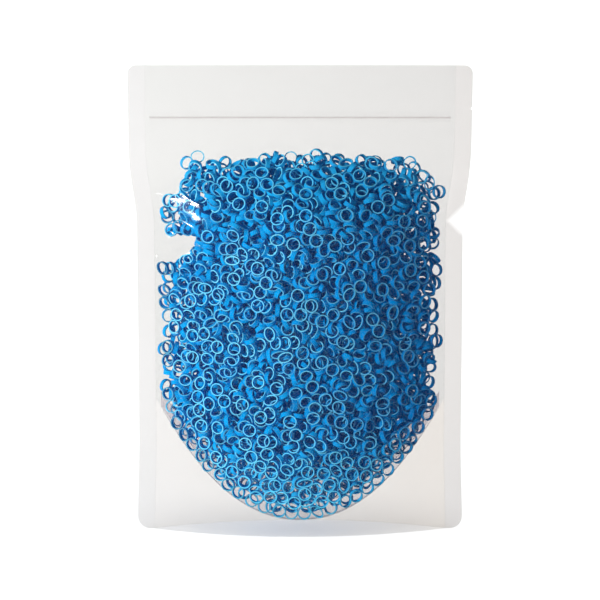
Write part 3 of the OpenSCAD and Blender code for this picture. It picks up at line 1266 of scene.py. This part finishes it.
@dataclass
class BandHeap:
    """The loose bands: where each lies, how it is turned, and how it is squashed."""

    form: PouchForm
    outer_r: float = 3.15 * MM
    wall: float = 0.5 * MM
    width: float = 2.0 * MM
    room: float = 90e-9
    margin: float = 0.3 * MM
    beads: int = 10
    bead_r: float = 0.95 * MM
    bead_ring_r: float = 2.25 * MM
    steps: int = 140
    settle: float = 0.004 * MM
    pocket_pitch: float = 6.3 * MM
    pocket_rows: int = 8
    pocket_row_step: float = 5.6 * MM
    shake: float = 1.1 * MM
    scatter: float = 0.9 * MM
    top_rise: float = 2.4 * MM
    segments: int = 18
    zones: int = 9
    squashed_share: float = 0.25
    twisted_share: float = 0.012
    flush_share: float = 0.8
    flush_layer: float = 3.4 * MM
    flush_lean: float = 0.26
    seed: int = 7

    def __post_init__(self) -> None:
        """Place the bands, squash some, and relax the heap."""
        self.rng = np.random.default_rng(self.seed)
        loose, pocket = self.fill(), self.pocket()
        self.centres = np.concatenate([loose, pocket])
        self.turns = self.first_turns(np.arange(len(self.centres)) >= len(loose))
        count = len(self.centres)
        squash = np.abs(self.rng.normal(0.0, 0.16, count))
        plain = self.rng.random(count) > self.squashed_share
        self.squash = np.where(plain, self.rng.random(count) * 0.035, np.minimum(squash, 0.38))
        self.warp = self.rng.normal(0.0, 0.1, count) * MM
        self.twisted = self.rng.random(count) < self.twisted_share
        self.tint = self.rng.random(count)
        self.side_limit = self.rng.uniform(0.945, 0.99, count)
        self.relax()

    def top(self, x: Array, y: Array) -> Array:
        """Height of the heap's uneven top: three low mounds and a shorter sine over them.

        Args:
            x: Positions across the pouch.
            y: Positions through the pouch.

        Returns:
            The heights.
        """
        mounds = np.cos(x * 2 * math.pi / (61 * MM))
        ripple = np.sin(x / (4.3 * MM) + y / (5 * MM))
        return self.form.heap_top + self.top_rise + (1.3 * mounds + 0.7 * ripple) * MM

    def inside(self, points: Array) -> NDArray[np.bool_]:
        """Whether band centres lie inside the heap's space.

        Args:
            points: The centres.

        Returns:
            True for each centre inside.
        """
        x, y, z = points.T
        form = self.form
        share = np.abs(x) / form.inner_half_w(z)
        lean = 1.05 * MM
        depth = form.inner_depth(x, z)
        clear_of_film = np.abs(y) < depth - lean
        pocketed = (z < form.fold_z(share)) & (np.abs(y) > depth - form.leaf_shelf_w)
        for pinch in PINCHES:
            clear_of_film &= pinch.radius(x, z, self.bead_r) > 1.1
        clear_of_weld = z > form.base_seal_z(share) + self.outer_r
        clear_of_gusset = z > form.leaf_z(x, np.abs(y)) + 1.0 * MM
        under_top = z < self.top(x, y) - self.outer_r * 0.8
        clear = clear_of_film & clear_of_weld & clear_of_gusset & ~pocketed
        return (share < 0.96) & clear & under_top

    def pocket(self) -> Array:
        """Bands in the narrow pockets between the walls and the gusset's upright leaves.

        Formula: rows that follow the base weld's curve at growing distances from it, with a band
        at every pitch of their length, staggered from row to row. A second layer lies behind the
        first where the pocket is deep enough. All bands are shaken a little.

        Returns:
            The bands' centres.
        """
        form = self.form
        u = np.linspace(-0.965, 0.965, 600)
        weld = form.base_seal_z(u)
        x = u * form.inner_half_w(weld)
        slope = np.gradient(weld, x)
        lean = np.hypot(1.0, slope)
        found = []
        for side, layer in itertools.product(Side, range(2)):
            for row in range(self.pocket_rows):
                away = self.outer_r + (row + 0.4 * layer) * self.pocket_row_step
                row_x, row_z = x - away * slope / lean, weld + away / lean
                length = np.cumsum(np.hypot(np.gradient(row_x), np.gradient(row_z)))
                first = self.pocket_pitch * self.rng.random()
                at = np.arange(first, length[-1], self.pocket_pitch)
                at = at + self.rng.normal(0.0, self.shake, len(at))
                band_x = np.interp(at, length, row_x)
                band_z = np.interp(at, length, row_z) + self.rng.normal(0.0, self.shake, len(at))
                band_z = np.maximum(band_z, np.interp(at, length, weld) + self.outer_r)
                share = np.abs(band_x) / form.inner_half_w(band_z)
                depth = form.inner_depth(band_x, band_z)
                keep = (share < 0.95) & (band_z < form.fold_z(share))
                keep &= (layer == 0) | (depth > 2.2 * form.leaf_shelf_w)
                depth = depth - (1.3 + 1.9 * layer) * MM
                found.append(np.stack([band_x, side.value * depth, band_z], -1)[keep])
        return np.concatenate(found)

    def fill(self) -> Array:
        """Spread the bands evenly through the heap.

        Formula: point i of the sequence is the fractional part of i times three irrational steps,
        the powers of 1/1.2207, which fills a box evenly. The points are shaken a little, and
        those outside the heap are dropped.

        Returns:
            The bands' centres.
        """
        low = np.array([-self.form.flat_half_w, -self.form.belly_depth, 0.0])
        high = np.array([self.form.flat_half_w, self.form.belly_depth, self.form.heap_top * 1.04])
        count = int(np.prod(high - low) / self.room)
        step = (1.0 / 1.2207440846057596) ** np.arange(1, 4)
        spread = np.mod(0.5 + np.arange(1, count + 1)[:, None] * step[None], 1.0)
        points = low + spread * (high - low)
        points += self.rng.normal(0.0, self.scatter, points.shape)
        return points[self.inside(points)]

    def first_turns(self, pocketed: NDArray[np.bool_]) -> Array:
        """First orientations: most bands near the film lie flush with it, the others any way.

        Args:
            pocketed: Bands in the gusset's pockets, which all lie flush.

        Returns:
            One rotation matrix for each band, whose third column is the band's axis.
        """
        x, y, z = self.centres.T
        across, upward = self.form.slopes(x, z)
        side = np.where(y < 0, -1.0, 1.0)
        normal = np.stack([-across, side, -upward], -1)
        normal /= np.linalg.norm(normal, axis=1, keepdims=True)
        near = self.form.inner_depth(x, z) - np.abs(y) < self.flush_layer
        flush = pocketed | near & (self.rng.random(len(x)) < self.flush_share)
        free = self.rng.normal(size=(len(x), 3))
        axis = np.where(flush[:, None], normal + self.flush_lean * free, free)
        axis /= np.linalg.norm(axis, axis=1, keepdims=True)
        helper = self.rng.normal(size=(len(x), 3))
        first = np.cross(axis, helper)
        first /= np.linalg.norm(first, axis=1, keepdims=True)
        return np.stack([first, np.cross(axis, first), axis], -1)

    def rest_beads(self) -> Array:
        """Beads that stand for each band: spheres round its squashed circle."""
        angle = np.arange(self.beads) * 2 * math.pi / self.beads
        a = self.bead_ring_r * (1.0 + self.squash[:, None] * 0.7) * np.cos(angle)
        b = self.bead_ring_r * (1.0 - self.squash[:, None]) * np.sin(angle)
        return np.stack([a, b, np.zeros_like(a)], -1)

    def close_pairs(
        self, points: Array, owner: NDArray[np.int64], reach: float
    ) -> NDArray[np.int64]:
        """Pairs of beads of different bands that are closer than reach.

        Beads are sorted into cubes of side reach, and each cube is compared with itself and with
        half of its 26 neighbours.

        Args:
            points: The beads.
            owner: The band that each bead belongs to.
            reach: Largest distance.

        Returns:
            Two arrays of bead numbers.
        """
        cell = np.floor((points - points.min(0)) / reach).astype(np.int64) + 1
        size = cell.max(0) + 2
        key = (cell[:, 0] * size[1] + cell[:, 1]) * size[2] + cell[:, 2]
        order = np.argsort(key, kind="stable")
        key = key[order]
        count = len(points)
        found = []
        neighbours = [(i, j, k) for i in (-1, 0, 1) for j in (-1, 0, 1) for k in (-1, 0, 1)]
        for i, j, k in neighbours[13:]:
            shift = (i * size[1] + j) * size[2] + k
            start = np.searchsorted(key, key + shift, "left")
            stop = np.searchsorted(key, key + shift, "right")
            if shift == 0:
                start = np.arange(count) + 1
            many = np.maximum(stop - start, 0)
            first = np.repeat(np.arange(count), many)
            run = np.arange(many.sum()) - np.repeat(np.cumsum(many) - many, many)
            a, b = order[first], order[start[first] + run]
            far = ((points[a] - points[b]) ** 2).sum(1) > reach * reach
            keep = (owner[a] != owner[b]) & ~far
            found.append(np.stack([a[keep], b[keep]]))
        return np.concatenate(found, axis=1)

    def into_pouch(self, points: Array) -> Array:
        """Move beads that poke through the film, the gusset or the welds back inside.

        Formula: a bead outside a surface moves along the surface's slope by its overlap divided
        by 1 plus the slopes squared.

        Args:
            points: The beads.

        Returns:
            The beads, moved.
        """
        form = self.form
        x, y, z = points.T.copy()
        limit = np.repeat(self.side_limit, self.beads) * form.inner_half_w(z)
        x = np.clip(x, -limit, limit)
        side = np.where(y < 0, -1.0, 1.0)
        across, upward = form.slopes(x, z)
        lean2 = 1.0 + across**2 + upward**2
        reach = (self.bead_r + self.margin) * np.sqrt(lean2)
        over = np.maximum(0.0, np.abs(y) + reach - form.inner_depth(x, z)) / lean2
        over = np.minimum(over, np.abs(y) + 0.2 * MM)
        x, y, z = x + over * across, y - side * over, z + over * upward
        step = 0.3 * MM
        depth = np.abs(y)
        floor = form.leaf_z(x, depth)
        slope = (form.leaf_z(x, np.maximum(depth - step, 0.0)) - floor) / step
        slope = np.minimum(slope, 6.0)
        lean2 = 1.0 + slope**2
        sunk = np.maximum(0.0, floor + self.bead_r * np.sqrt(lean2) - z) / lean2
        sunk = np.minimum(sunk, 1.0 * MM)
        y, z = y + np.where(y < 0, -1.0, 1.0) * slope * sunk, z + sunk
        for pinch in PINCHES:
            radius = np.maximum(pinch.radius(x, z, 0.8 * self.bead_r), 0.2)
            away = np.minimum(np.maximum(1.0 / radius - 1.0, 0.0), 0.12)
            x, z = x + away * (x - pinch.x), z + away * (z - pinch.z)
        weld = form.base_seal_z(np.abs(x) / form.inner_half_w(z)) + self.bead_r
        over = np.maximum(0.0, z - self.top(x, y) + self.bead_r)
        return np.stack([x, y, np.maximum(z - 0.5 * over, weld)], -1)

    def relax(self) -> None:
        """Push overlapping bands apart inside the pouch until the heap is at rest.

        Each band is a rigid ring of beads. A step pushes the beads of touching bands apart by
        half their overlap, moves beads outside the film back in, and then fits each rigid ring
        to its moved beads, by the rotation nearest to their covariance.
        """
        rest = self.rest_beads()
        count = len(rest)
        owner = np.repeat(np.arange(count), self.beads)
        reach = 2 * self.bead_r
        pairs = np.zeros((2, 0), int)
        for step in range(self.steps):
            beads = self.centres[:, None] + np.einsum("nij,nkj->nki", self.turns, rest)
            points = beads.reshape(-1, 3)
            if step % 3 == 0:
                pairs = self.close_pairs(points, owner, reach + 0.5 * MM)
            a, b = pairs
            apart = points[a] - points[b]
            distance = np.maximum(np.linalg.norm(apart, axis=1), 1e-6)
            overlap = np.maximum(0.0, reach - distance)
            push = apart * (0.5 * overlap / distance)[:, None]
            total = len(points)
            move = np.stack(
                [
                    np.bincount(a, push[:, axis], total) - np.bincount(b, push[:, axis], total)
                    for axis in range(3)
                ],
                -1,
            )
            points = points + np.clip(move, -0.6 * MM, 0.6 * MM)
            points[:, 2] -= self.settle
            points = self.into_pouch(points)
            beads = points.reshape(count, self.beads, 3)
            self.centres = beads.mean(1)
            spread = np.einsum("nki,nkj->nij", beads - self.centres[:, None], rest)
            left, _, right = np.linalg.svd(spread)
            flip = np.sign(np.linalg.det(left @ right))
            left[:, :, 2] *= flip[:, None]
            self.turns = left @ right
        log.info("heap: %d bands relaxed, %d bead pairs still near", count, pairs.shape[1])

    def centrelines(self, chosen: NDArray[np.int64]) -> tuple[Array, Array]:
        """Centre line and in-plane normal of each chosen band, in its own axes.

        Formula: a plain band is an ellipse, a cos t and b sin t, warped by h cos 2t along its
        axis. A twisted one is a figure of eight, a cos t and b sin 2t, whose strands pass each
        other at the crossing because its axis part is h sin t. The normal is the tangent turned
        by a quarter.

        Args:
            chosen: The bands' numbers.

        Returns:
            Points and normals, bands by segments by 3.
        """
        t = (np.arange(self.segments) * 2 * math.pi / self.segments)[None]
        mean_r = self.outer_r - self.wall / 2
        squash, warp = self.squash[chosen, None], self.warp[chosen, None]
        a, b = mean_r * (1.0 + 0.7 * squash), mean_r * (1.0 - squash)
        oval = np.stack([a * np.cos(t), b * np.sin(t), warp * np.cos(2 * t)], -1)
        slope = np.stack([-a * np.sin(t), b * np.cos(t)], -1)
        ones = np.ones_like(a)
        wide, tall = 1.22 * mean_r * ones, 0.5 * mean_r * ones
        eight = np.stack(
            [wide * np.cos(t), tall * np.sin(2 * t), ones * 1.05 * MM * np.sin(t)], -1
        )
        eight_slope = np.stack([-wide * np.sin(t), 2 * tall * np.cos(2 * t)], -1)
        twisted = self.twisted[chosen, None, None]
        line = np.where(twisted, eight, oval)
        tangent = np.where(twisted, eight_slope, slope)
        normal = np.stack([tangent[..., 1], -tangent[..., 0], np.zeros(tangent.shape[:2])], -1)
        return line, normal / np.linalg.norm(normal, axis=-1, keepdims=True)

    def outlying(self) -> Array:
        """How far each band belongs to the heap's outline, seen from in front: 0 to 1."""
        # This weight drives painted shade: the band material darkens the rims of outline bands by
        # it.
        x, y, z = self.centres.T
        share = np.abs(x) / self.form.inner_half_w(z)
        at_side = smoothstep(share, 0.84, 0.95)
        at_top = 0.35 * smoothstep(z - self.top(x, y), -7 * MM, -3 * MM)
        at_foot = 1.0 - smoothstep(z - self.form.base_seal_z(share), 3.5 * MM, 9 * MM)
        return 0.85 * np.maximum(np.maximum(at_side, at_top), at_foot)

    def band_piece(self, name: str, chosen: NDArray[np.int64]) -> bpy.types.Object:
        """One mesh of many bands: a rectangle carried round each centre line.

        Args:
            name: The piece's name.
            chosen: The bands' numbers.

        Returns:
            The new object, with the attributes rim on faces, and tint and edge on vertices.
        """
        line, normal = self.centrelines(chosen)
        half_t, half_w = self.wall / 2, self.width / 2
        corners = np.array([[1.0, -1.0], [1.0, 1.0], [-1.0, 1.0], [-1.0, -1.0]])
        axis = np.array([0.0, 0.0, 1.0])
        local = (
            line[:, :, None]
            + normal[:, :, None] * corners[None, None, :, :1] * half_t
            + axis * corners[None, None, :, 1:] * half_w
        )
        turned = np.einsum("nij,nskj->nski", self.turns[chosen], local)
        placed = turned + self.centres[chosen][:, None, None]
        drift = self.form.sway(self.centres[chosen, 0], self.centres[chosen, 2])
        placed[..., 1] += drift[:, None, None]
        count, segments = len(chosen), self.segments
        number = np.arange(count * segments * 4).reshape(count, segments, 4)
        onward = np.roll(number, -1, axis=1)
        beside = np.roll(number, -1, axis=2)
        across = np.roll(onward, -1, axis=2)
        quads = np.stack([number, onward, across, beside], -1).reshape(-1, 4)
        piece = mesh_from_quads(name, placed.reshape(-1, 3), quads)
        mesh = piece.data
        rim = np.tile(np.array([0.0, 1.0, 0.0, 1.0]), count * segments)
        mesh.attributes.new("rim", "FLOAT", "FACE").data.foreach_set("value", rim)
        # The edge weight carries the painted shade on the outline bands' rims.
        for word, numbers in (("tint", self.tint), ("edge", self.outlying())):
            value = np.repeat(numbers[chosen], segments * 4)
            mesh.attributes.new(word, "FLOAT", "POINT").data.foreach_set("value", value)
        ends = np.empty(len(mesh.edges) * 2, np.int32)
        mesh.edges.foreach_get("vertices", ends)
        sharp = ends[0::2] % 4 == ends[1::2] % 4
        mesh.attributes.new("sharp_edge", "BOOLEAN", "EDGE").data.foreach_set("value", sharp)
        return piece

    def build(self) -> None:
        """Build the bands in pieces: lining layers of the front and back walls, and the core."""
        material = BandFinish().material()
        x, y, z = self.centres.T
        span = self.form.heap_top - self.form.base_seal_mid_z
        share = np.clip((self.form.heap_top - z) / span, 0.0, 0.999)
        zone = (share * self.zones).astype(int) + 1
        lining = self.form.inner_depth(x, z) - np.abs(y) < 4.5 * MM
        for number in range(1, self.zones + 1):
            for word, choice in (
                ("front", lining & (y < 0)),
                ("back", lining & (y >= 0)),
                ("core", ~lining),
            ):
                chosen = np.flatnonzero(choice & (zone == number))
                if not len(chosen):
                    continue
                piece = self.band_piece(f"loose_bands_{word}_{number}", chosen)
                dress(piece, material)
                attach(piece, "pouch")
                if word != "core":
                    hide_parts(f"{word}_bands_{number}")
        log.info("heap: %d bands in %d zones", len(x), self.zones)


# ---------------------------------------------------------------------------------------------
# The studio
# ---------------------------------------------------------------------------------------------


@dataclass
class Studio:
    """Floor, lights and camera."""

    form: PouchForm
    distance: float = 1.0
    elevation: float = math.radians(7.8)
    lens: float = 127.4
    sensor: float = 36.0
    surroundings: float = 0.3
    backdrop_sun: float = 1.55
    shadow_sun: float = 0.75
    sun_angle: float = math.radians(25)
    floor_r: float = 2.2
    sweep_r: float = 1.4

    def build_floor(self) -> bpy.types.Object:
        """A round floor that sweeps up all round, so that no horizon shows from any side."""
        turn = np.linspace(0.0, math.pi / 2, 14)
        radius = np.concatenate([[0.02, 1.0], self.floor_r + self.sweep_r * np.sin(turn), [3.6]])
        height = np.concatenate([[0.0, 0.0], self.sweep_r * (1.0 - np.cos(turn)), [3.2]])
        angle = np.linspace(0.0, 2 * math.pi, 65)[:-1]
        x = radius[:, None] * np.cos(angle)
        y = radius[:, None] * np.sin(angle)
        z = np.broadcast_to(height[:, None], x.shape)
        points = np.stack([x, y, z], -1).reshape(-1, 3)
        number = np.arange(len(points)).reshape(x.shape)
        onward = np.roll(number, -1, axis=1)
        quads = np.stack([number[:-1], number[1:], onward[1:], onward[:-1]], -1).reshape(-1, 4)
        near = np.arange(31)
        cap = np.stack([near, near + 1, 62 - near, 63 - near], -1)
        floor = mesh_from_quads("studio_floor", points, np.concatenate([quads, cap]))
        floor.data.materials.append(StageFinish().material())
        return floor

    def build_world(self) -> None:
        """Even white surroundings."""
        world = bpy.data.worlds.new("studio")
        world.use_nodes = True
        background = world.node_tree.nodes["Background"]
        background.inputs["Color"].default_value = (1.0, 1.0, 1.0, 1.0)
        background.inputs["Strength"].default_value = self.surroundings
        bpy.context.scene.world = world

    def add_light(
        self, name: str, place: tuple[float, float, float], size: tuple[float, float], power: float
    ) -> bpy.types.Object:
        """Add a rectangular soft light aimed at the pouch.

        Args:
            name: The light's name.
            place: Its position.
            size: Its width and height.
            power: Its power in watts.

        Returns:
            The light's object.
        """
        light = bpy.data.lights.new(name, "AREA")
        light.shape = "RECTANGLE"
        light.size, light.size_y = size
        light.energy = power
        lamp = bpy.data.objects.new(name, light)
        lamp.location = place
        target = np.array([0.0, 0.0, self.form.height / 2])
        aim(lamp, target)
        lamp.visible_camera = False
        bpy.context.scene.collection.objects.link(lamp)
        return lamp

    def build_lights(self, floor: bpy.types.Object) -> None:
        """A softbox on the left, a small one that the film mirrors, and suns for the backdrop.

        The two softboxes light everything but the floor, and the suns light the floor alone. Only
        the second sun is shaded by the pack, so the backdrop is evenly white with a soft shadow.

        Args:
            floor: The studio's floor.
        """
        not_floor = bpy.data.collections.new("all_but_the_floor")
        not_floor.objects.link(floor)
        not_floor.collection_objects[0].light_linking.link_state = "EXCLUDE"
        for name, size, power in (("key", (0.13, 0.22), 44.0), ("glint", (0.05, 0.08), 7.0)):
            lamp = self.add_light(name, (-1.01, -0.94, 0.22), size, power)
            lamp.visible_glossy = name == "glint"
            lamp.light_linking.receiver_collection = not_floor
        only_floor = bpy.data.collections.new("only_the_floor")
        only_floor.objects.link(floor)
        for name, power in (("backdrop_sun", self.backdrop_sun), ("shadow_sun", self.shadow_sun)):
            sun = bpy.data.lights.new(name, "SUN")
            sun.energy = power
            sun.angle = self.sun_angle
            lamp = bpy.data.objects.new(name, sun)
            lamp.location = (0.0, -0.3, 2.0)
            aim(lamp, np.zeros(3))
            bpy.context.scene.collection.objects.link(lamp)
            lamp.light_linking.receiver_collection = only_floor
            if name == "backdrop_sun":
                lamp.light_linking.blocker_collection = only_floor

    def build_camera(self) -> None:
        """A long lens in front, slightly above the pouch."""
        camera = bpy.data.cameras.new("camera")
        camera.lens, camera.sensor_width = self.lens, self.sensor
        view = bpy.data.objects.new("camera", camera)
        target = np.array([0.0, 0.0, self.form.height / 2])
        back = np.array([0.0, -math.cos(self.elevation), math.sin(self.elevation)])
        view.location = target + self.distance * back
        aim(view, target)
        bpy.context.scene.collection.objects.link(view)
        bpy.context.scene.camera = view

    def build(self) -> None:
        """Build the studio."""
        self.build_camera()
        floor = self.build_floor()
        self.build_world()
        self.build_lights(floor)
        bpy.context.scene.view_settings.view_transform = "Standard"
        bpy.context.scene.cycles.transparent_max_bounces = 24
        log.info("studio: camera, floor and lights")


def aim(thing: bpy.types.Object, target: Array) -> None:
    """Turn an object so that its -Z axis points at a target, with +Z up in its view.

    Args:
        thing: A light or camera.
        target: The point to look at.
    """
    from mathutils import Vector

    direction = Vector(target) - Vector(thing.location)
    thing.rotation_euler = direction.to_track_quat("-Z", "Y").to_euler()


def main() -> None:
    """Build the studio, the pouch and the heap of bands."""
    logging.basicConfig(level=logging.INFO, format="%(name)s: %(message)s")
    form = PouchForm.from_frame()
    log.info("form: %s", form)
    Studio(form).build()
    Pouch(form).build()
    BandHeap(form).build()


if __name__ == "__main__":
    main()
